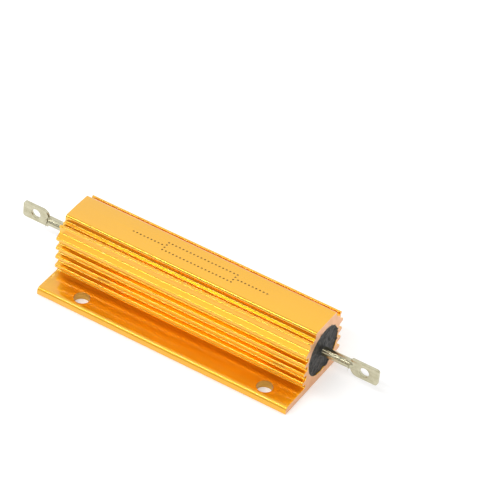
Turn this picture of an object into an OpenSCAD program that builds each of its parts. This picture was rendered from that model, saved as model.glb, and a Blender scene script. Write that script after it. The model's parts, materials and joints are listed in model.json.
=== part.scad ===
// Wirewound power resistor in an extruded aluminium body with cooling fins.
// X runs along the body, the mounting flange reaches towards -Y and the
// base lies on z = 0. The origin is the middle of the footprint.

/* [Body] */
// Length of the extruded body
body_length = 90; // [70:1:150]
// Diameter of the bore that holds the resistance element
bore_diameter = 16.9; // [15.5:0.1:19]
// Thickness of the base plate, the flange and the floor under the bore
base_thickness = 2.7; // [2:0.1:4]
// Metal above the bore, up to the top face
top_wall = 3.1; // [2.9:0.1:5]
// Wall between the bore and the bottom of the side grooves
side_wall = 0.75; // [0.6:0.05:2]
// Wall between the bore and the bottom of the upper grooves
upper_wall = 2.15; // [1.6:0.05:2.3]

/* [Top rail] */
// Width of the flat rail along the top
rail_width = 12.5; // [10:0.1:15]
// Height of the rail's side faces
rail_depth = 2.4; // [1.8:0.1:2.8]
// How far the neck under the rail stands back from the side faces
rail_undercut = 0.45; // [0.3:0.05:1]
// Radius of the rail's upper edges
rail_edge_radius = 1; // [0.4:0.1:1.1]
// Radius of the lip under the rail's side faces
rail_lip_radius = 0.3; // [0.1:0.05:0.5]
// Rise of the crowned top face from its edges to its middle
rail_crown = 0.15; // [0.05:0.05:0.4]
// Depth of the grooves beside the neck, below the rail's side faces
rail_groove_depth = 0.7; // [0.4:0.05:1]
// Radius of the grooves' lower corners
rail_groove_radius = 0.5; // [0.2:0.05:0.7]

/* [Fins] */
// Distance from one fin to the next
fin_pitch = 3.62; // [3:0.02:4.4]
// Depth of the grooves between the side fins
fin_depth = 1.75; // [1:0.05:2.5]
// Thickness of a fin at its tip
fin_tip = 1.4; // [0.9:0.05:1.8]
// Radius of the corners of a fin's tip
fin_corner = 0.35; // [0.15:0.05:0.45]
// Slope of the upper faces of the side fins, in degrees
fin_slope = 29; // [20:1:40]
// Slope of the fins' undersides, in degrees
fin_draft = 12; // [5:1:20]
// How far the uppermost fin stands back from the others
top_fin_setback = 1.65; // [0.5:0.05:2]
// Height of the uppermost fin's rim above the groove beside the rail
rim_height = 0.9; // [0.5:0.05:1.2]
// Width of that rim
rim_width = 1.2; // [0.8:0.1:1.6]
// Smallest height of the groove between the lowest fin and the base plate
base_groove = 1.2; // [0.8:0.1:2]

/* [Mounting flange] */
// Reach of the flange from the bottom of the side grooves to its free edge
flange_width = 11.1; // [9.5:0.1:15]
// Radius of the flange's upper front edge
flange_edge_radius = 1.3; // [0.5:0.1:1.8]
// Radius of the other long edges of the base plate
base_edge_radius = 0.4; // [0.1:0.05:0.7]
// Radius of the fillet between the flange and the body
flange_fillet = 0.8; // [0.3:0.1:1]
// Diameter of the two mounting holes
hole_diameter = 5.2; // [3.2:0.1:6]
// Distance between the mounting holes
hole_spacing = 66.2; // [45:0.1:68]
// Distance from the flange's free edge to the line of the holes
hole_edge = 4.4; // [3.8:0.1:4.8]
// How far the pair of holes sits off the body's middle, towards the right end
hole_offset = 1.8; // [0:0.1:3]

/* [Resistance element] */
// Diameter of the ceramic core
core_diameter = 9.6; // [8:0.1:12]
// Diameter of the resistance wire
wire_diameter = 0.5; // [0.3:0.05:0.8]
// Distance from one turn of the wire to the next
wire_pitch = 2.5; // [1.8:0.1:4]
// Length of the end caps
cap_length = 6; // [3:0.5:9]
// Wall of the end caps round the core
cap_wall = 0.4; // [0.25:0.05:0.8]
// Thickness of the end caps' closed ends
cap_end = 0.5; // [0.3:0.1:1.5]

/* [Seals] */
// Depth of the sealing compound at each end
seal_depth = 9; // [4:0.5:14]
// How far the compound stands back from the end of the body
seal_recess = 0.2; // [0:0.05:1]
// Height that the compound climbs up the terminal
seal_climb = 0.5; // [0.1:0.1:0.9]

/* [Terminals] */
// Diameter of the terminal's shank
shank_diameter = 3.1; // [2.4:0.1:3.6]
// Length of the shank outside the body
shank_reach = 9.8; // [6:0.1:14]
// Length of the flat lug
lug_length = 9.6; // [8.5:0.1:13]
// Width of the flat lug
lug_width = 5.8; // [5.2:0.1:8]
// Thickness of the flat lug
lug_thickness = 1.1; // [0.6:0.1:1.6]
// How far the lug's middle line stands off the shank's axis
lug_offset = 0.6; // [0:0.1:0.8]
// Diameter of the wiring hole
lug_hole = 3.3; // [2.4:0.1:3.6]
// Distance from the lug's tip to the middle of the wiring hole
lug_hole_inset = 4.8; // [3.6:0.1:5.2]
// Radius of the lug's tip corners
lug_tip_radius = 1; // [0.3:0.1:2]
// Radius of the lug's wide shoulder
lug_shoulder_radius = 2.6; // [1.5:0.1:3.2]
// Radius of the lug's narrow shoulder
lug_step_radius = 0.4; // [0.2:0.1:1]
// Length of the taper from the round shank to the flat lug
shank_taper = 1.2; // [0.6:0.1:2]
// Width of the two drawn lines along the shank
line_width = 0.3; // [0.15:0.05:0.4]
// Depth of the drawn lines
line_depth = 0.18; // [0.1:0.02:0.3]

/* [Fits] */
// Gap between pieces that are slid or cast into each other
fit_gap = 0.03; // [0.01:0.01:0.1]

/* [Hidden] */
$fn = 48;

bore_r = bore_diameter / 2;
bore_z = base_thickness + bore_r;
body_height = base_thickness + bore_diameter + top_wall;
groove_y = bore_r + side_wall;
fin_y = groove_y + fin_depth;
flange_y = groove_y + flange_width;
// The bore's axis lies off the origin, because the flange is on one side only
axis_y = (flange_y - fin_y) / 2;
rail_z = body_height - rail_depth;
neck_y = rail_width / 2 - rail_undercut;
rail_groove_z = rail_z - rail_groove_depth;
rim_z = rail_groove_z + rim_height;
rim_y = fin_y - top_fin_setback;
side_fins = floor((rim_z - fin_tip - base_thickness - base_groove) / fin_pitch);
crown_r = (pow(rail_width / 2, 2) + pow(rail_crown, 2)) / (2 * rail_crown);
hole_y = hole_edge - flange_y;
cut = 1;

element_half = body_length / 2 - seal_depth;
core_half = element_half - cap_end;
core_r = core_diameter / 2;
cap_r = core_r + fit_gap + cap_wall;
wire_r = wire_diameter / 2;
// Corners round one turn of the wire and round its section
turn_steps = 16;
wire_sides = 6;
// The wire's straight steps clear the core at their middles
coil_r = (core_r + fit_gap + wire_r) / cos(180 / turn_steps);
coil_span = 2 * (element_half - cap_length - fit_gap - wire_r);
coil_turns = round(coil_span / wire_pitch);
coil_pitch = coil_span / coil_turns;
filler_r = max(cap_r, coil_r + wire_r) + fit_gap;

shank_r = shank_diameter / 2;
shoulder_x = body_length / 2 + shank_reach;
lug_tip_x = shoulder_x + lug_length;
lug_hole_x = lug_tip_x - lug_hole_inset;
lug_half = lug_width / 2;
// Places of the drawn lines round the shank, as angles above its front side
line_angles = [24, 53];

// Puts a shape that is drawn round the X axis on the bore's axis
module on_axis() {
    translate([0, axis_y, bore_z]) children();
}

// A round bar along X from x1 to x2, tapering from r1 to r2
module bar(x1, x2, r1, r2) {
    translate([x1, 0, 0]) rotate([0, 90, 0]) cylinder(h = x2 - x1, r1 = r1, r2 = r2);
}

// ---- Housing ----

// A fin from inside the body at root_y out to tip_y, with its upper corner at
// corner_z and an upper face that rises inwards by the given slope
module fin(root_y, tip_y, corner_z, slope) {
    reach = tip_y - root_y;
    low_z = corner_z - fin_tip;
    upper = [tip_y - fin_corner, corner_z - fin_corner * tan(45 - slope / 2)];
    lower = [tip_y - fin_corner, low_z + fin_corner * tan(45 - fin_draft / 2)];
    polygon([
        [root_y, low_z - reach * tan(fin_draft)],
        lower + fin_corner * [sin(fin_draft), -cos(fin_draft)],
        [tip_y, lower.y],
        [tip_y, upper.y],
        upper + fin_corner * [sin(slope), cos(slope)],
        [root_y, corner_z + reach * tan(slope)]
    ]);
    translate(upper) circle(r = fin_corner);
    translate(lower) circle(r = fin_corner);
}

// The groove between the rail's neck and the rim of the uppermost fin
module rail_groove() {
    inner_y = neck_y + rail_groove_radius;
    outer_y = rim_y - rim_width - rail_groove_radius;
    corner_z = rail_groove_z + rail_groove_radius;
    translate([inner_y, rail_groove_z])
        square([outer_y - inner_y, rim_height + cut]);
    translate([neck_y, corner_z])
        square([outer_y - neck_y + rail_groove_radius, rim_height + cut]);
    translate([inner_y, corner_z]) circle(r = rail_groove_radius);
    translate([outer_y, corner_z]) circle(r = rail_groove_radius);
}

// Half of the crowned top rail
module half_rail() {
    edge = rail_width / 2;
    top_y = edge - rail_edge_radius;
    lip_y = edge - rail_lip_radius;
    intersection() {
        union() {
            polygon([
                [0, rail_z],
                [lip_y, rail_z],
                [edge, rail_z + rail_lip_radius],
                [edge, body_height - rail_edge_radius],
                [top_y, body_height],
                [0, body_height]
            ]);
            translate([lip_y, rail_z + rail_lip_radius]) circle(r = rail_lip_radius);
            translate([top_y, body_height - rail_edge_radius]) circle(r = rail_edge_radius);
        }
        translate([0, body_height - crown_r]) circle(r = crown_r, $fn = 360);
    }
}

// What both sides of the section have, drawn for the side towards +Y
module half_section() {
    difference() {
        union() {
            intersection() {
                square([groove_y, bore_z + bore_r + upper_wall]);
                union() {
                    translate([0, bore_z]) circle(r = bore_r + upper_wall);
                    square([groove_y, bore_z]);
                }
            }
            fin(0, rim_y, rim_z, 0);
        }
        rail_groove();
    }
    square([neck_y, rail_z + rail_lip_radius]);
    half_rail();
    for (i = [1 : side_fins])
        fin(groove_y - fin_depth, fin_y, rim_z - i * fin_pitch, fin_slope);
}

// The base plate with its flange towards -Y
module base_section() {
    rear_y = fin_y - base_edge_radius;
    low_y = flange_y - base_edge_radius;
    front_y = flange_y - flange_edge_radius;
    polygon([
        [-low_y, 0],
        [rear_y, 0],
        [fin_y, base_edge_radius],
        [fin_y, base_thickness - base_edge_radius],
        [rear_y, base_thickness],
        [-front_y, base_thickness],
        [-flange_y, base_thickness - flange_edge_radius],
        [-flange_y, base_edge_radius]
    ]);
    translate([rear_y, base_edge_radius]) circle(r = base_edge_radius);
    translate([rear_y, base_thickness - base_edge_radius]) circle(r = base_edge_radius);
    translate([-low_y, base_edge_radius]) circle(r = base_edge_radius);
    translate([-front_y, base_thickness - flange_edge_radius]) circle(r = flange_edge_radius);
    difference() {
        translate([-groove_y - flange_fillet, base_thickness])
            square([flange_fillet + cut, flange_fillet]);
        translate([-groove_y - flange_fillet, base_thickness + flange_fillet])
            circle(r = flange_fillet);
    }
}

module housing_section() {
    difference() {
        union() {
            half_section();
            mirror([1, 0]) half_section();
            base_section();
        }
        translate([0, bore_z]) circle(r = bore_r, $fn = 96);
    }
}

module housing() {
    color([0.95, 0.63, 0.13])
        translate([0, axis_y, 0])
        difference() {
            rotate([90, 0, 90])
                linear_extrude(height = body_length, center = true)
                housing_section();
            for (side = [-1, 1])
                translate([hole_offset + side * hole_spacing / 2, hole_y, -cut])
                    cylinder(h = base_thickness + 2 * cut, d = hole_diameter);
        }
}

// ---- Resistance element ----

module ceramic_core() {
    color([0.93, 0.91, 0.86]) on_axis() bar(-core_half, core_half, core_r, core_r);
}

// A point on the wire's middle line, at an angle counted from the first turn. The
// wire runs level for the last half turn against the cap at each end
function wire_point(angle) = [
    coil_pitch * min(max(angle, 0), 360 * coil_turns) / 360 - coil_span / 2,
    coil_r * cos(angle),
    coil_r * sin(angle)
];

// The wire's round section, square to its middle line
function wire_ring(angle) =
    let (
        ahead = wire_point(angle + 1) - wire_point(angle - 1),
        outward = [0, cos(angle), sin(angle)],
        sideways = cross(ahead / norm(ahead), outward)
    )
    [for (k = [0 : wire_sides - 1])
        wire_point(angle) + wire_r * (cos(360 * k / wire_sides) * outward
            + sin(360 * k / wire_sides) * sideways)];

module resistance_winding() {
    last = (coil_turns + 1) * turn_steps;
    rings = [for (i = [0 : last]) wire_ring(360 * i / turn_steps - 180)];
    skin = [for (i = [0 : last - 1], k = [0 : wire_sides - 1])
        let (next = (k + 1) % wire_sides)
        [i * wire_sides + k, (i + 1) * wire_sides + k,
            (i + 1) * wire_sides + next, i * wire_sides + next]];
    first_end = [for (k = [0 : wire_sides - 1]) k];
    last_end = [for (k = [wire_sides - 1 : -1 : 0]) last * wire_sides + k];
    color([0.55, 0.53, 0.50]) on_axis()
        polyhedron([for (ring = rings) each ring], concat([first_end, last_end], skin));
}

// A pressed cup over the right end of the core
module end_cap() {
    color([0.72, 0.73, 0.74])
        difference() {
            bar(element_half - cap_length, element_half, cap_r, cap_r);
            bar(element_half - cap_length - cut, core_half, core_r + fit_gap, core_r + fit_gap);
        }
}

module left_end_cap() {
    on_axis() mirror([1, 0, 0]) end_cap();
}

module right_end_cap() {
    on_axis() end_cap();
}

// The cement between the winding and the bore
module filler() {
    color([0.80, 0.77, 0.70]) on_axis()
        difference() {
            bar(-element_half, element_half, bore_r - fit_gap, bore_r - fit_gap);
            bar(-element_half - cut, element_half + cut, filler_r, filler_r);
        }
}

// ---- Seals ----

// The compound cast round the right terminal, with a collar that climbs the shank
module seal() {
    face_x = body_length / 2 - seal_recess;
    hole_r = shank_r + fit_gap;
    color([0.13, 0.13, 0.12])
        rotate([90, 0, 90])
        rotate_extrude($fn = 96)
        polygon([
            [hole_r, element_half],
            [bore_r - fit_gap, element_half],
            [bore_r - fit_gap, face_x],
            [hole_r + 2 * seal_climb, face_x],
            [hole_r + seal_climb, face_x + seal_climb / 4],
            [hole_r, face_x + seal_climb]
        ]);
}

module left_seal() {
    on_axis() mirror([1, 0, 0]) seal();
}

module right_seal() {
    on_axis() seal();
}

// ---- Terminals ----

// A rectangle from x1 to x2 and z1 to z2 with its own radius at each corner,
// given from the lower left corner anticlockwise
module lug_outline(x1, x2, z1, z2, r) {
    polygon([
        [x1 + r[0], z1], [x2 - r[1], z1],
        [x2, z1 + r[1]], [x2, z2 - r[2]],
        [x2 - r[2], z2], [x1 + r[3], z2],
        [x1, z2 - r[3]], [x1, z1 + r[0]]
    ]);
    translate([x1 + r[0], z1 + r[0]]) circle(r = r[0]);
    translate([x2 - r[1], z1 + r[1]]) circle(r = r[1]);
    translate([x2 - r[2], z2 - r[2]]) circle(r = r[2]);
    translate([x1 + r[3], z2 - r[3]]) circle(r = r[3]);
}

// The right terminal: a round shank that is flattened into a lug. The lug hangs
// below the shank's axis, or stands above it where drop is -1
module terminal(drop) {
    lug_z = -lug_offset;
    color([0.80, 0.79, 0.72])
        difference() {
            union() {
                bar(element_half, shoulder_x, shank_r, shank_r);
                bar(shoulder_x, shoulder_x + shank_taper, shank_r, lug_thickness / 2);
                mirror([0, 0, drop < 0 ? 1 : 0])
                    rotate([90, 0, 0])
                    linear_extrude(height = lug_thickness, center = true)
                    lug_outline(shoulder_x, lug_tip_x, lug_z - lug_half, lug_z + lug_half,
                        [lug_shoulder_radius, lug_tip_radius, lug_tip_radius, lug_step_radius]);
            }
            translate([lug_hole_x, 0, drop * lug_z]) rotate([90, 0, 0])
                cylinder(h = lug_thickness + 2 * cut, d = lug_hole, center = true);
            for (angle = line_angles)
                rotate([-angle, 0, 0])
                    translate([body_length / 2, line_depth - shank_r - cut, -line_width / 2])
                    cube([shank_reach, cut, line_width]);
        }
}

module left_terminal() {
    on_axis() mirror([1, 0, 0]) terminal(-1);
}

module right_terminal() {
    on_axis() terminal(1);
}

housing();
ceramic_core();
resistance_winding();
left_end_cap();
right_end_cap();
filler();
left_seal();
right_seal();
left_terminal();
right_terminal();
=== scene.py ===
"""The looks of an aluminium housed power resistor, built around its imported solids."""

import json
import math

import bmesh
import bpy
from mathutils import Matrix, Vector, noise


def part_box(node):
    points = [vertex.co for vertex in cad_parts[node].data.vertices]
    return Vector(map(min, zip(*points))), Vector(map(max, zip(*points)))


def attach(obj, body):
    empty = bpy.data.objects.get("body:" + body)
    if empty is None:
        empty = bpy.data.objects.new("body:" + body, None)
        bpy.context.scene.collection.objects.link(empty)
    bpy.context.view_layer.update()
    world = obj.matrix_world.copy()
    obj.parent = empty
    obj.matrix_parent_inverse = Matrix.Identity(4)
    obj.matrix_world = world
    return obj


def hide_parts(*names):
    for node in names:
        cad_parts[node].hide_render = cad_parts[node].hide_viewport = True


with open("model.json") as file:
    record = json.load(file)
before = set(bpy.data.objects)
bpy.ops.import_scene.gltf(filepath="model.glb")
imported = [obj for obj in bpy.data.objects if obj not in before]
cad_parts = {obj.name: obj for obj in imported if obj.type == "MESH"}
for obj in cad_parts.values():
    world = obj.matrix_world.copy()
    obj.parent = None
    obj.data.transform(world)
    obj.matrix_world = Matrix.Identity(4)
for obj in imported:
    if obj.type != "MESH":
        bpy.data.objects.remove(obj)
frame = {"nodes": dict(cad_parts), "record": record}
NODES = frame["nodes"]
MOUNTS = {mount["name"]: mount for mount in frame["record"]["mounts"]}
MM = 0.001
# Without a seed, noise_vector shifts its pattern by a new amount on every run
noise.seed_set(1)


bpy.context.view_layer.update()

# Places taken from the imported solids
BODY_LOW, BODY_HIGH = (Vector(corner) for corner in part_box("housing"))
SEAL_LOW, SEAL_HIGH = (Vector(corner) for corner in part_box("right_seal"))
BODY_END = BODY_HIGH.x
TOP = BODY_HIGH.z
AXIS_Y = (SEAL_LOW.y + SEAL_HIGH.y) / 2
AXIS_Z = (SEAL_LOW.z + SEAL_HIGH.z) / 2
BORE_RADIUS = (SEAL_HIGH.y - SEAL_LOW.y) / 2 + 0.03 * MM
# Reach of the section from the bore's axis to the rear and to the flange's free edge
REAR = (BODY_HIGH.y - AXIS_Y) / MM
FRONT = (AXIS_Y - BODY_LOW.y) / MM
HEIGHT = TOP / MM

# ---- Camera ----

CAMERA_TARGET = Vector((0, AXIS_Y, 12 * MM))
CAMERA_AZIMUTH = math.radians(27.503)
CAMERA_ELEVATION = math.radians(40.539)
CAMERA_ROLL = math.radians(6.283)
CAMERA_DISTANCE = 0.8854
CAMERA_LENS = 208.48
# How far the camera stands to the right of the target's line of sight, and above it
CAMERA_PAN = (16.11 * MM, 11.80 * MM)


def add_camera():
    flat = math.cos(CAMERA_ELEVATION)
    back = Vector((math.sin(CAMERA_AZIMUTH) * flat, -math.cos(CAMERA_AZIMUTH) * flat,
                   math.sin(CAMERA_ELEVATION)))
    level = Vector((math.cos(CAMERA_AZIMUTH), math.sin(CAMERA_AZIMUTH), 0))
    upright = back.cross(level)
    right = math.cos(CAMERA_ROLL) * level + math.sin(CAMERA_ROLL) * upright
    up = math.cos(CAMERA_ROLL) * upright - math.sin(CAMERA_ROLL) * level
    place = (CAMERA_TARGET + back * CAMERA_DISTANCE + right * CAMERA_PAN[0]
             + up * CAMERA_PAN[1])
    data = bpy.data.cameras.new("camera")
    data.lens = CAMERA_LENS
    data.sensor_width = 36
    data.clip_start = 0.01
    data.clip_end = 50
    camera = bpy.data.objects.new("camera", data)
    turn = Matrix((right, up, back)).transposed().to_4x4()
    camera.matrix_world = Matrix.Translation(place) @ turn
    bpy.context.scene.collection.objects.link(camera)
    bpy.context.scene.camera = camera


# ---- Shader helpers ----

class Nodes:
    """Adds nodes to one tree and links them by socket name."""

    def __init__(self, tree):
        self.tree = tree

    def add(self, kind, settings=None, **inputs):
        node = self.tree.nodes.new(kind)
        for name, value in (settings or {}).items():
            setattr(node, name, value)
        for name, value in inputs.items():
            self.put(node.inputs[name.replace("_", " ")], value)
        return node

    def put(self, socket, value):
        if isinstance(value, bpy.types.NodeSocket):
            self.tree.links.new(value, socket)
        else:
            socket.default_value = value

    def math(self, operation, first, second):
        node = self.tree.nodes.new("ShaderNodeMath")
        node.operation = operation
        for socket, value in zip(node.inputs, (first, second)):
            self.put(socket, value)
        return node.outputs[0]

    def blend(self, first, second, share=0.5):
        """Adds up two masks, the first by its share and the second by the rest."""
        return self.math("ADD", self.math("MULTIPLY", first, share),
                         self.math("MULTIPLY", second, 1 - share))

    def ramp(self, factor, stops):
        node = self.add("ShaderNodeValToRGB", Fac=factor)
        elements = node.color_ramp.elements
        while len(elements) < len(stops):
            elements.new(0.5)
        for element, (place, color) in zip(elements, stops):
            element.position = place
            element.color = (*color, 1)
        return node.outputs["Color"]

    def spread(self, value, low, high):
        """Turns a mask of 0 to 1 into a value from low to high."""
        node = self.add("ShaderNodeMapRange", Value=value, To_Min=low, To_Max=high)
        return node.outputs["Result"]


def group(name, inputs, outputs):
    """An empty node group with the given (name, socket type, default) inputs."""
    tree = bpy.data.node_groups.new(name, "ShaderNodeTree")
    for label, kind, default in inputs:
        socket = tree.interface.new_socket(label, in_out="INPUT", socket_type=kind)
        socket.default_value = default
    for label, kind in outputs:
        tree.interface.new_socket(label, in_out="OUTPUT", socket_type=kind)
    make = Nodes(tree)
    return tree, make, make.add("NodeGroupInput"), make.add("NodeGroupOutput")


FLOAT = "NodeSocketFloat"
VECTOR = "NodeSocketVector"


def lines_group():
    """Fine lines drawn along one direction, such as die lines, drawing lines or saw marks.
    Stretch divides the pattern along each axis; the mask runs from 0 to 1."""
    tree, make, given, out = group(
        "drawn_lines",
        [("Stretch", VECTOR, (1, 1, 1)), ("Lines per metre", FLOAT, 4000.0),
         ("Turn", VECTOR, (0, 0, 0))],
        [("Mask", FLOAT)])
    place = make.add("ShaderNodeTexCoord").outputs["Object"]
    mapping = make.add("ShaderNodeMapping", Vector=place, Rotation=given.outputs["Turn"],
                       Scale=given.outputs["Stretch"])
    lines = make.add("ShaderNodeTexNoise", Vector=mapping.outputs[0],
                     Scale=given.outputs["Lines per metre"], Detail=3.0, Roughness=0.55)
    make.put(out.inputs["Mask"], lines.outputs["Fac"])
    return tree


def grain_group():
    """Soft blotches with a finer grain on them, the same in all directions."""
    tree, make, given, out = group(
        "grain",
        [("Blotches per metre", FLOAT, 300.0), ("Grains per metre", FLOAT, 4000.0)],
        [("Blotches", FLOAT), ("Grains", FLOAT)])
    place = make.add("ShaderNodeTexCoord").outputs["Object"]
    soft = make.add("ShaderNodeTexNoise", Vector=place,
                    Scale=given.outputs["Blotches per metre"], Detail=2.0)
    fine = make.add("ShaderNodeTexNoise", Vector=place,
                    Scale=given.outputs["Grains per metre"], Detail=4.0, Roughness=0.6)
    make.put(out.inputs["Blotches"], soft.outputs["Fac"])
    make.put(out.inputs["Grains"], fine.outputs["Fac"])
    return tree


LINES = lines_group()
GRAIN = grain_group()


def material(name):
    """A new material, its Nodes and its Principled BSDF."""
    made = bpy.data.materials.new(name)
    made.use_nodes = True
    return made, Nodes(made.node_tree), made.node_tree.nodes["Principled BSDF"]


def drawn_lines(make, stretch, per_metre, turn=(0, 0, 0)):
    node = make.add("ShaderNodeGroup", {"node_tree": LINES}, Stretch=stretch, Turn=turn,
                    Lines_per_metre=per_metre)
    return node.outputs["Mask"]


def grain(make, blotches, grains):
    """Masks of the blotches and of the grains, each given as its number per metre."""
    node = make.add("ShaderNodeGroup", {"node_tree": GRAIN}, Blotches_per_metre=blotches,
                    Grains_per_metre=grains)
    return node.outputs["Blotches"], node.outputs["Grains"]


def bump(make, surface, height, distance, strength=1.0):
    node = make.add("ShaderNodeBump", Height=height, Strength=strength, Distance=distance)
    make.put(surface.inputs["Normal"], node.outputs["Normal"])


# ---- Materials ----

# Die lines, saw marks and drill rings per metre
FINE_LINES = 5200.0
# The height below which the gold is rougher: the flange's top, with a short change above it
FLANGE_FADE = (3.1 * MM, 2.8 * MM)
FLANGE_BLUR = 0.2


def flange_blur(make):
    """Roughness added on the flange and the base."""
    place = make.add("ShaderNodeTexCoord").outputs["Object"]
    height = make.add("ShaderNodeSeparateXYZ", Vector=place).outputs["Z"]
    start, end = FLANGE_FADE
    node = make.add("ShaderNodeMapRange", Value=height, From_Min=start, From_Max=end,
                    To_Min=0.0, To_Max=FLANGE_BLUR)
    return node.outputs["Result"]


def gold_anodised():
    """Dyed oxide over drawn aluminium: a metal under a thin clear coat, with die lines."""
    made, make, surface = material("gold_anodised")
    lines = drawn_lines(make, (0.004, 1, 1), FINE_LINES)
    blotches, grains = grain(make, 60.0, 3500.0)
    make.put(surface.inputs["Base Color"], make.ramp(
        make.blend(lines, blotches, 0.6),
        [(0.32, (0.89, 0.448, 0.012)), (0.68, (0.93, 0.478, 0.017))]))
    surface.inputs["Metallic"].default_value = 1.0
    surface.inputs["Coat Weight"].default_value = 1.0
    surface.inputs["Coat IOR"].default_value = 1.6
    surface.inputs["Coat Roughness"].default_value = 0.08
    make.put(surface.inputs["Roughness"],
             make.math("ADD", flange_blur(make), make.spread(grains, 0.19, 0.23)))
    bump(make, surface, lines, 0.0015 * MM, 0.4)
    return made


def burnt_mark():
    """The dark walls of the punched dots."""
    made, make, surface = material("burnt_mark")
    blotches, grains = grain(make, 900.0, 6000.0)
    make.put(surface.inputs["Base Color"], make.ramp(
        blotches, [(0.3, (0.05, 0.022, 0.006)), (0.7, (0.14, 0.06, 0.015))]))
    surface.inputs["Metallic"].default_value = 0.3
    make.put(surface.inputs["Roughness"], make.spread(grains, 0.45, 0.7))
    return made


def bare_aluminium():
    """The sawn ends, with the marks of the blade."""
    made, make, surface = material("bare_aluminium")
    marks = drawn_lines(make, (1, 0.05, 1), FINE_LINES, (math.radians(38), 0, 0))
    blotches = grain(make, 350.0, 5000.0)[0]
    make.put(surface.inputs["Base Color"], make.ramp(
        make.blend(marks, blotches),
        [(0.3, (0.70, 0.38, 0.20)), (0.7, (0.86, 0.52, 0.31))]))
    surface.inputs["Metallic"].default_value = 1.0
    make.put(surface.inputs["Roughness"], make.spread(marks, 0.35, 0.55))
    bump(make, surface, marks, 0.02 * MM)
    return made


def drilled_aluminium():
    """The walls of the mounting holes, with the drill's rings."""
    made, make, surface = material("drilled_aluminium")
    rings = drawn_lines(make, (0.05, 0.05, 1), FINE_LINES)
    make.put(surface.inputs["Base Color"], make.ramp(
        rings, [(0.3, (0.50, 0.26, 0.04)), (0.7, (0.78, 0.46, 0.11))]))
    surface.inputs["Metallic"].default_value = 1.0
    make.put(surface.inputs["Roughness"], make.spread(rings, 0.25, 0.45))
    bump(make, surface, rings, 0.02 * MM)
    return made


def black_compound():
    """Coarse black filler with pale specks."""
    made, make, surface = material("black_compound")
    blotches, grains = grain(make, 420.0, 2600.0)
    make.put(surface.inputs["Base Color"], make.ramp(
        grains, [(0.42, (0.006, 0.006, 0.005)), (0.58, (0.016, 0.015, 0.013)),
                 (0.68, (0.10, 0.095, 0.08))]))
    surface.inputs["Specular IOR Level"].default_value = 0.35
    make.put(surface.inputs["Roughness"], make.spread(blotches, 0.3, 0.65))
    bump(make, surface, grains, 0.25 * MM)
    return made


def tinned_metal():
    """Dull tin over drawn wire."""
    made, make, surface = material("tinned_metal")
    lines = drawn_lines(make, (0.03, 1, 1), 4200.0)
    blotches = grain(make, 500.0, 3000.0)[0]
    make.put(surface.inputs["Base Color"], make.ramp(
        make.blend(lines, blotches),
        [(0.3, (0.42, 0.39, 0.25)), (0.7, (0.64, 0.61, 0.46))]))
    surface.inputs["Metallic"].default_value = 1.0
    make.put(surface.inputs["Roughness"], make.spread(blotches, 0.14, 0.26))
    bump(make, surface, lines, 0.012 * MM)
    return made


def hidden_finish(name, dark, light, metallic, rough, grains_per_metre):
    """A plain grained finish for the pieces inside the body."""
    made, make, surface = material(name)
    blotches, grains = grain(make, 400.0, grains_per_metre)
    make.put(surface.inputs["Base Color"], make.ramp(grains, [(0.3, dark), (0.7, light)]))
    surface.inputs["Metallic"].default_value = metallic
    make.put(surface.inputs["Roughness"], make.spread(blotches, rough - 0.08, rough + 0.08))
    bump(make, surface, grains, 0.02 * MM)
    return made


# ---- Pieces ----

SHARP_ANGLE = math.radians(28)
FLAT_ANGLE = math.radians(0.5)
LUG_ROUND = 0.1 * MM


def softened_copy(node, name, edge_round):
    """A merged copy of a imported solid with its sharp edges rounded."""
    mesh = NODES[node].data.copy()
    mesh.name = name
    shape = bmesh.new()
    shape.from_mesh(mesh)
    bmesh.ops.remove_doubles(shape, verts=shape.verts, dist=0.002 * MM)
    bmesh.ops.dissolve_limit(shape, angle_limit=FLAT_ANGLE, verts=shape.verts, edges=shape.edges)
    sharp = [edge for edge in shape.edges
             if len(edge.link_faces) == 2 and edge.calc_face_angle() > SHARP_ANGLE]
    bmesh.ops.bevel(shape, geom=sharp, offset=edge_round, offset_type="OFFSET", segments=2,
                    profile=0.5, affect="EDGES", clamp_overlap=False, material=-1)
    finish_mesh(shape, mesh)
    return new_piece(name, mesh)


def in_fixed_order(shape):
    """The same shape with its corners and faces in an order that no run changes."""
    corners = sorted(shape.verts, key=lambda vert: vert.co[:])
    for number, vert in enumerate(corners):
        vert.index = number
    rings = []
    for face in shape.faces:
        ring = [vert.index for vert in face.verts]
        first = ring.index(min(ring))
        rings.append(ring[first:] + ring[:first])
    fixed = bmesh.new()
    verts = [fixed.verts.new(vert.co) for vert in corners]
    for ring in sorted(rings):
        fixed.faces.new([verts[number] for number in ring])
    shape.free()
    fixed.normal_update()
    return fixed


def finish_mesh(shape, mesh):
    """Writes the shape into the mesh, smooth but for its sharp edges, and frees the shape."""
    shape = in_fixed_order(shape)
    for face in shape.faces:
        face.smooth = True
    for edge in shape.edges:
        edge.smooth = len(edge.link_faces) == 2 and edge.calc_face_angle() < SHARP_ANGLE
    shape.to_mesh(mesh)
    shape.free()


def new_piece(name, mesh):
    """A new object for the mesh, fixed to the body."""
    piece = bpy.data.objects.new(name, mesh)
    bpy.context.scene.collection.objects.link(piece)
    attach(piece, "root")
    return piece


# ---- Finned body ----
# The section is drawn in millimetres, outwards from the bore's axis and up from the base.
# A corner is (out, up, radius).

SIDE_FINS = 4
FIN_PITCH = 3.62
FIN_THICK = 1.15
NOSE_ROUND = 0.5
GROOVE_OUT = REAR - 1.75
# Slopes of a fin's upper face, of its underside and of the shoulder over the first fin
FIN_SLOPE = math.tan(math.radians(13))
FIN_DRAFT = math.tan(math.radians(10))
SHOULDER_SLOPE = math.tan(math.radians(33))
SHOULDER_UP = HEIGHT - 6.1
BASE_THICK = 2.7
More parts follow.
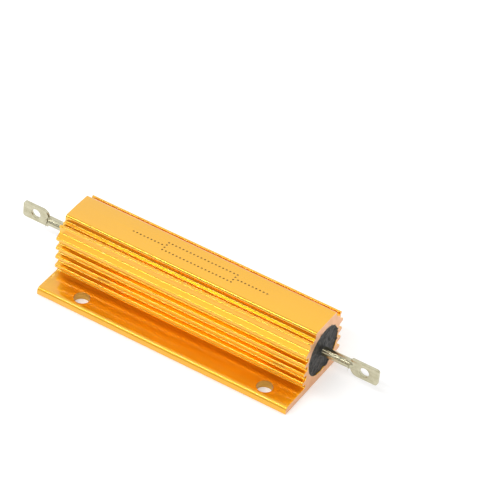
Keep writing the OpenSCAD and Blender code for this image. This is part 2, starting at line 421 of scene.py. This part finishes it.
# The flat rail along the top, the ledge beside it and the groove outside the ledge
RAIL_HALF = 6.25
RAIL_RISE = 0.15
RAIL_ROUND = 1.0
LEDGE_OUT = RAIL_HALF + 1.1
LEDGE_UP = HEIGHT - 2.35
GROOVE_UP = HEIGHT - 3.2
# The small uppermost fin
TOP_FIN_OUT = REAR - 1.53
TOP_FIN_UP = HEIGHT - 2.25
TOP_FIN_WIDE = 0.92
TOP_FIN_HIGH = 0.95
# Rounding of the sawn end edges, in two steps of (share inwards, share outwards)
END_ROUND = 0.08
END_STEPS = ((0.25, 0.75), (0.75, 0.25))


def crown_corners():
    """The slightly domed top face, from its middle outwards to where the edge's arc begins."""
    steps = 16
    reach = RAIL_HALF - 1.2 * RAIL_ROUND
    places = [reach * step / steps for step in range(steps + 1)]
    return [(out, HEIGHT - RAIL_RISE * (out / RAIL_HALF) ** 2, 0) for out in places]


def rail_and_top_fin():
    """The rail's edge, the ledge and groove beside it, the uppermost fin and the wall below."""
    wall = GROOVE_OUT - 0.15
    fin_low = TOP_FIN_UP - TOP_FIN_HIGH
    return [
        (RAIL_HALF, HEIGHT - RAIL_RISE, RAIL_ROUND),
        (RAIL_HALF, LEDGE_UP, 0.35),
        (LEDGE_OUT, LEDGE_UP - 0.05, 0.25),
        (LEDGE_OUT + 0.15, GROOVE_UP, 0.2),
        (TOP_FIN_OUT - TOP_FIN_WIDE - 0.05, GROOVE_UP, 0.25),
        (TOP_FIN_OUT - TOP_FIN_WIDE, TOP_FIN_UP, 0.2),
        (TOP_FIN_OUT, TOP_FIN_UP, 0.4),
        (TOP_FIN_OUT, fin_low, 0.3),
        (wall, fin_low - 0.1, 0.1),
        (wall, SHOULDER_UP + (REAR - wall) * SHOULDER_SLOPE, 0.6),
    ]


def fin_corners(number):
    """One side fin: its root above, its nose and its root below."""
    up = SHOULDER_UP - FIN_PITCH * number
    low = up - FIN_THICK
    return [
        (GROOVE_OUT, up + (REAR - GROOVE_OUT) * FIN_SLOPE, 0.5),
        (REAR, up, NOSE_ROUND),
        (REAR, low, NOSE_ROUND),
        (GROOVE_OUT, low - (REAR - GROOVE_OUT) * FIN_DRAFT, 0.3),
    ]


def side_corners():
    """One side from the rail down; the shoulder's slope is the first fin's upper face."""
    corners = rail_and_top_fin()
    for number in range(SIDE_FINS):
        corners += fin_corners(number)[1 if number == 0 else 0:]
    return corners


def section_corners():
    """The whole section: down the rear side, along the base and up the front side."""
    rear = crown_corners()[1:] + side_corners()
    front = [(-out, up, radius) for out, up, radius in rear]
    base = [
        (GROOVE_OUT, BASE_THICK, 0.5), (REAR, BASE_THICK, 0.4), (REAR, 0, 0.4),
        (-FRONT, 0, 0.4), (-FRONT, BASE_THICK, 1.3), (-GROOVE_OUT, BASE_THICK, 0.8),
    ]
    return [(0, HEIGHT, 0)] + rear + base + front[::-1]


def rounded(corners, steps_per_turn=48):
    """The outline's points, with each corner turned into an arc of its radius."""
    spots = [Vector(corner[:2]) for corner in corners]
    points = []
    for number, (spot, corner) in enumerate(zip(spots, corners)):
        radius = corner[2]
        if radius == 0:
            points.append(spot)
            continue
        back = (spots[number - 1] - spot).normalized()
        ahead = (spots[(number + 1) % len(spots)] - spot).normalized()
        half = back.angle(ahead) / 2
        middle = spot + (back + ahead).normalized() * radius / math.sin(half)
        start = spot + back * radius / math.tan(half) - middle
        sweep = math.copysign(math.pi - 2 * half, -back.cross(ahead))
        steps = max(2, round(abs(sweep) / (2 * math.pi) * steps_per_turn))
        for step in range(steps + 1):
            points.append(middle + Matrix.Rotation(sweep * step / steps, 2) @ start)
    return points


def outline_edges(shape, points, x):
    """A closed loop of edges through the points of a section that stands at x."""
    verts = [shape.verts.new((x, AXIS_Y + point.x * MM, point.y * MM)) for point in points]
    return [shape.edges.new(pair) for pair in zip(verts, verts[1:] + verts[:1])]


def extruded_body():
    """The section with its bore, drawn out along X, its end edges rounded."""
    shape = bmesh.new()
    start = END_ROUND * MM - BODY_END
    edges = outline_edges(shape, rounded(section_corners()), start)
    ring = bmesh.ops.create_circle(
        shape, segments=96, radius=BORE_RADIUS,
        matrix=Matrix.Translation((start, AXIS_Y, AXIS_Z)) @ Matrix.Rotation(math.pi / 2, 4, "Y"))
    edges += list(dict.fromkeys(edge for vert in ring["verts"] for edge in vert.link_edges))
    filled = bmesh.ops.triangle_fill(shape, edges=edges, use_beauty=True, normal=(-1, 0, 0))
    near = [face for face in filled["geom"] if isinstance(face, bmesh.types.BMFace)]
    drawn = bmesh.ops.extrude_face_region(shape, geom=near, use_keep_orig=True)["geom"]
    far_verts = [vert for vert in drawn if isinstance(vert, bmesh.types.BMVert)]
    bmesh.ops.translate(shape, verts=far_verts, vec=(-2 * start, 0, 0))
    far = [face for face in drawn if isinstance(face, bmesh.types.BMFace)]
    bmesh.ops.recalc_face_normals(shape, faces=shape.faces)
    for cap in (near, far):
        for inset, rise in END_STEPS:
            bmesh.ops.inset_region(shape, faces=cap, thickness=inset * END_ROUND * MM,
                                   depth=rise * END_ROUND * MM, use_even_offset=True,
                                   use_boundary=True)
    return shape


# Each dot is cut by a cone that stands half in the top face: its radius below, its radius
# above and its height
DOT_LOW = 0.12 * MM
DOT_HIGH = 0.52 * MM
DOT_CONE = 0.30 * MM
# How unevenly the dots are punched, in millimetres
DOT_SHIFT = 0.05


def mark_places():
    """Dots that draw a plain resistor symbol along the rail, in millimetres: a box between
    two leads. The box reaches to box_x and box_y, the leads to lead_end."""
    box_x, box_y, lead_end, pitch = 12.35, 1.95, 24.05, 1.3
    along = [-box_x + pitch * step for step in range(round(2 * box_x / pitch) + 1)]
    across = [-box_y + pitch * step for step in range(1, round(2 * box_y / pitch))]
    lead = [box_x + pitch * step for step in range(1, round((lead_end - box_x) / pitch) + 1)]
    dots = [(x, y) for x in along for y in (-box_y, box_y)]
    dots += [(x, y) for x in (-box_x, box_x) for y in across]
    return dots + [(sign * x, 0) for x in lead for sign in (-1, 1)]


def cutter(shape, name):
    """An unlinked object of the shape, for cut()."""
    mesh = bpy.data.meshes.new(name)
    shape.to_mesh(mesh)
    shape.free()
    return bpy.data.objects.new(name, mesh)


HOLES = MOUNTS["mounting_holes"]
HOLE_RADIUS = HOLES["dims"]["hole_r_mm"] * MM
HOLE_PLACES = [Vector(HOLES["pos_m"]) + Vector((side * HOLES["dims"]["spacing_x_mm"] * MM, 0, 0))
               for side in (-0.5, 0.5)]


def hole_cutter():
    shape = bmesh.new()
    for place in HOLE_PLACES:
        bmesh.ops.create_cone(shape, cap_ends=True, segments=64, radius1=HOLE_RADIUS,
                              radius2=HOLE_RADIUS, depth=4 * BASE_THICK * MM,
                              matrix=Matrix.Translation(place))
    return cutter(shape, "hole_cutter")


def mark_cutter():
    """All the dots' cones, a little unevenly placed."""
    shape = bmesh.new()
    for number, (x, y) in enumerate(mark_places()):
        shift = noise.noise_vector(Vector((number * 1.7, 0.3, 0.9))) * DOT_SHIFT
        up = HEIGHT - RAIL_RISE * (y / RAIL_HALF) ** 2
        place = Vector((x + shift.x, y + shift.y, up)) * MM + Vector((0, AXIS_Y, 0))
        bmesh.ops.create_cone(shape, cap_ends=True, segments=10, radius1=DOT_LOW,
                              radius2=DOT_HIGH, depth=DOT_CONE,
                              matrix=Matrix.Translation(place))
    return cutter(shape, "mark_cutter")


def cut(piece, tools):
    """Cuts the tools' shapes out of a piece."""
    for tool in tools:
        bpy.context.scene.collection.objects.link(tool)
        change = piece.modifiers.new("cut", "BOOLEAN")
        change.operation = "DIFFERENCE"
        change.solver = "EXACT"
        change.object = tool
    view = bpy.context.evaluated_depsgraph_get()
    mesh = bpy.data.meshes.new_from_object(piece.evaluated_get(view), depsgraph=view)
    piece.modifiers.clear()
    piece.data = mesh
    for tool in tools:
        bpy.data.objects.remove(tool)


def is_sawn_end(face):
    return abs(face.normal.x) > 0.99 and abs(abs(face.center.x) - BODY_END) < 0.01 * MM


def is_hole_wall(face):
    """Upright faces outside the fins that lie on a mounting hole's edge."""
    return (abs(face.normal.z) < 0.1 and face.center.y < AXIS_Y - (GROOVE_OUT + 1) * MM
            and any((face.center - place).xy.length < HOLE_RADIUS + 0.05 * MM
                    for place in HOLE_PLACES))


def is_mark(face):
    """The tilted walls of the dots, which lie in the middle of the top."""
    return (face.center.z > TOP - 0.4 * MM and face.normal.z < 0.9
            and abs(face.center.y - AXIS_Y) < 3 * MM and abs(face.center.x) < 0.9 * BODY_END)


def add_body(gold, bare, drilled, burnt):
    """The finned body: gold, but for its sawn ends, its hole walls and the dots."""
    mesh = bpy.data.meshes.new("finned_body")
    finish_mesh(extruded_body(), mesh)
    body = new_piece("finned_body", mesh)
    cut(body, [hole_cutter(), mark_cutter()])
    mesh = body.data
    shape = bmesh.new()
    shape.from_mesh(mesh)
    finish_mesh(shape, mesh)
    mesh.materials.clear()
    for finish in (gold, bare, drilled, burnt):
        mesh.materials.append(finish)
    tests = (is_sawn_end, is_hole_wall, is_mark)
    for face in mesh.polygons:
        found = [number for number, test in enumerate(tests, 1) if test(face)]
        face.material_index = found[0] if found else 0
    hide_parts("housing")


# ---- Sealing compound ----

# Sizes in millimetres. The face lies back from the body's end by FACE_BACK and rises towards
# the rim and, as a collar, towards the shank.
SHANK_RADIUS = 1.5
FACE_BACK = 0.34
RIM_WIDE, RIM_RISE = 0.9, 0.12
COLLAR_WIDE, COLLAR_RISE = 1.1, 0.5
# Lumps as (number per millimetre, height)
LUMPS = ((0.45, 0.20), (0.95, 0.18), (1.7, 0.09))
# How far the ragged parts of the rim rise and creep out over the body's end
RAGGED_RISE, RAGGED_REACH = 0.3, 0.40


def compound_profile(face_steps=34):
    """Section of one end's compound as (along X, out from the axis), in millimetres."""
    end = BODY_END / MM
    inside = SEAL_LOW.x / MM
    bore = BORE_RADIUS / MM
    outermost = bore - 0.12
    face = [(end, outermost - (outermost - SHANK_RADIUS) * step / face_steps)
            for step in range(face_steps + 1)]
    return [(inside, bore - 0.03), (end, bore - 0.03), (end, bore - 0.01)] + face \
        + [(inside, SHANK_RADIUS)]


def roughen(vert, seed):
    """Moves a vertex of the right end's face to its place in the lumpy, ragged surface."""
    spoke = (vert.co - Vector((0, AXIS_Y, AXIS_Z))) * Vector((0, 1, 1))
    out = spoke.length / MM
    place = vert.co / MM + Vector((0, 0, seed))
    lumps = sum(noise.noise(place * per_mm) * height for per_mm, height in LUMPS)
    rim = max(0.0, 1 - (BORE_RADIUS / MM - out) / RIM_WIDE)
    collar = max(0.0, 1 - (out - SHANK_RADIUS) / COLLAR_WIDE) ** 2
    ragged = min(1.0, max(0.0, noise.noise(spoke.normalized() * 2.6) * 2.4))
    level = (-FACE_BACK + lumps + RIM_RISE * rim ** 2 + COLLAR_RISE * collar
             + RAGGED_RISE * ragged * rim ** 2)
    vert.co.x = min(BODY_END + level * MM, SEAL_HIGH.x)
    if rim > 0.98:
        share = 1 if out > BORE_RADIUS / MM - 0.02 else 0.6
        vert.co += spoke.normalized() * RAGGED_REACH * ragged * MM * share


def add_compound(side, finish):
    """Poured compound: lumpy, with a ragged rim and a collar round the shank."""
    sign = -1 if side == "left" else 1
    shape = bmesh.new()
    verts = [shape.verts.new((x * MM, AXIS_Y, AXIS_Z + out * MM))
             for x, out in compound_profile()]
    edges = [shape.edges.new(pair) for pair in zip(verts, verts[1:] + verts[:1])]
    bmesh.ops.spin(shape, geom=verts + edges, cent=(0, AXIS_Y, AXIS_Z), axis=(1, 0, 0),
                   dvec=(0, 0, 0), angle=2 * math.pi, steps=144, use_merge=True)
    bmesh.ops.remove_doubles(shape, verts=shape.verts, dist=0.001 * MM)
    for vert in shape.verts:
        if vert.co.x >= BODY_END - 1 * MM:
            roughen(vert, sign * 40)
    if sign < 0:
        bmesh.ops.scale(shape, verts=shape.verts, vec=(-1, 1, 1))
    bmesh.ops.recalc_face_normals(shape, faces=shape.faces)
    mesh = bpy.data.meshes.new(side + "_compound")
    finish_mesh(shape, mesh)
    mesh.materials.append(finish)
    piece = new_piece(side + "_compound", mesh)
    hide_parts(side + "_seal")


# ---- Lugs and hidden pieces ----

def add_terminal(side, finish):
    node = side + "_terminal"
    terminal = softened_copy(node, side + "_solder_lug", LUG_ROUND)
    terminal.data.materials.clear()
    terminal.data.materials.append(finish)
    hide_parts(node)


def dress(node, finish):
    """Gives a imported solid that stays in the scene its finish."""
    mesh = NODES[node].data
    mesh.materials.clear()
    mesh.materials.append(finish)


# ---- Floor and light ----

FLOOR_HALF = 4
FLOOR_DROP = 0.05 * MM
# What the floor glows where it is seen itself or in a reflection, so that it reads as white
FLOOR_GLOW = 0.2


def add_floor():
    """A white floor that keeps the object's shadow."""
    mesh = bpy.data.meshes.new("floor")
    shape = bmesh.new()
    bmesh.ops.create_grid(shape, x_segments=1, y_segments=1, size=FLOOR_HALF)
    bmesh.ops.translate(shape, verts=shape.verts, vec=(0, 0, -FLOOR_DROP))
    shape.to_mesh(mesh)
    shape.free()
    made, make, surface = material("white_floor")
    surface.inputs["Base Color"].default_value = (0.93, 0.93, 0.93, 1)
    surface.inputs["Roughness"].default_value = 0.9
    surface.inputs["Specular IOR Level"].default_value = 0.0
    glow = make.add("ShaderNodeEmission")
    rays = make.add("ShaderNodeLightPath").outputs
    seen = make.math("MAXIMUM", rays["Is Camera Ray"],
                     make.math("MAXIMUM", rays["Is Glossy Ray"], rays["Is Transmission Ray"]))
    make.put(glow.inputs["Strength"], make.math("MULTIPLY", seen, FLOOR_GLOW))
    both = make.add("ShaderNodeAddShader")
    make.put(both.inputs[0], surface.outputs["BSDF"])
    make.put(both.inputs[1], glow.outputs["Emission"])
    make.put(made.node_tree.nodes["Material Output"].inputs["Surface"], both.outputs[0])
    mesh.materials.append(made)
    floor = bpy.data.objects.new("floor", mesh)
    bpy.context.scene.collection.objects.link(floor)


# The level that full white stands for in the sky's ramp
SKY_PEAK = 2.0
# Brightness of the studio round the object, by degrees over the body from the front
SKY = [(0, 0.66), (22, 0.50), (46, 0.50), (62, 0.80), (95, 0.80), (110, 1.0), (120, 1.25),
       (132, 1.12), (140, 1.05), (155, 1.0), (180, 0.9)]


def add_world():
    """A pale studio, darker in front of the body than above and behind it."""
    world = bpy.data.worlds.new("studio")
    world.use_nodes = True
    make = Nodes(world.node_tree)
    direction = make.add("ShaderNodeTexCoord").outputs["Generated"]
    parts = make.add("ShaderNodeSeparateXYZ", Vector=direction).outputs
    angle = make.math("ARCTAN2", parts["Z"], make.math("MULTIPLY", parts["Y"], -1.0))
    sky = make.ramp(make.math("DIVIDE", angle, math.pi),
                    [(degrees / 180, (level / SKY_PEAK,) * 3) for degrees, level in SKY])
    background = world.node_tree.nodes["Background"]
    make.put(background.inputs["Color"], sky)
    background.inputs["Strength"].default_value = SKY_PEAK
    bpy.context.scene.world = world


STRIP_PLACE = Vector((-0.19, -0.282, 0.398))
STRIP_TARGET = Vector((-0.19, 0, 0.01))
STRIP_SIZE = (0.7, 0.045)
STRIP_POWER = 1.15


def add_strip():
    """A long narrow lamp along the body, which draws the fins' highlights."""
    data = bpy.data.lights.new("front_strip", "AREA")
    data.shape = "RECTANGLE"
    data.size, data.size_y = STRIP_SIZE
    data.energy = STRIP_POWER
    lamp = bpy.data.objects.new("front_strip", data)
    turn = (STRIP_TARGET - STRIP_PLACE).to_track_quat("-Z", "Y").to_matrix().to_4x4()
    lamp.matrix_world = Matrix.Translation(STRIP_PLACE) @ turn
    bpy.context.scene.collection.objects.link(lamp)


# ---- The scene ----

bpy.context.scene.view_settings.view_transform = "Standard"
add_camera()
add_floor()
add_world()
add_strip()

TINNED = tinned_metal()
COMPOUND = black_compound()
STEEL = hidden_finish("cap_steel", (0.40, 0.41, 0.42), (0.52, 0.53, 0.54), 1.0, 0.35, 3000.0)
add_body(gold_anodised(), bare_aluminium(), drilled_aluminium(), burnt_mark())
for end in ("left", "right"):
    add_terminal(end, TINNED)
    add_compound(end, COMPOUND)
    dress(end + "_end_cap", STEEL)
dress("ceramic_core", hidden_finish(
    "ceramic", (0.80, 0.76, 0.68), (0.88, 0.85, 0.78), 0.0, 0.7, 2500.0))
dress("resistance_winding", hidden_finish(
    "resistance_wire", (0.24, 0.22, 0.20), (0.34, 0.32, 0.29), 1.0, 0.4, 4000.0))
dress("filler", hidden_finish(
    "cement", (0.52, 0.48, 0.40), (0.66, 0.62, 0.54), 0.0, 0.85, 1800.0))
